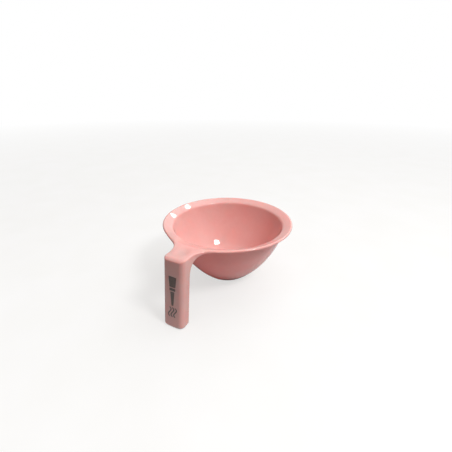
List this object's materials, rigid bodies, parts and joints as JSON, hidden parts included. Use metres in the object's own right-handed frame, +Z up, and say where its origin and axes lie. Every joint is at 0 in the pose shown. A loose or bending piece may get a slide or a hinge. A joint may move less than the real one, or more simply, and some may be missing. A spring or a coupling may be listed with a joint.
{
  "type": "hair color bowl",
  "caption": "Round tint bowl with a wide sloping rim, a flat thumb plate and a hollow side handle that turns down to the table.",
  "frame": {"origin": "middle of the base, on the plane the bowl stands on", "axes": "+Z is up along the bowl's axis, the handle is at -Y"},
  "size_m": [0.132, 0.1663, 0.063],
  "materials": {
    "bowl_plastic": "glossy, opaque pink",
    "cover_plastic": "glossy, opaque pink",
    "soft_ring": "matte",
    "print_ink": "printed ink, satin"
  },
  "bodies": {
    "root": {"bowl": "bowl_plastic", "handle_cover": "cover_plastic", "base_ring": "soft_ring", "handle_print": "print_ink"}
  },
  "joints": []
}
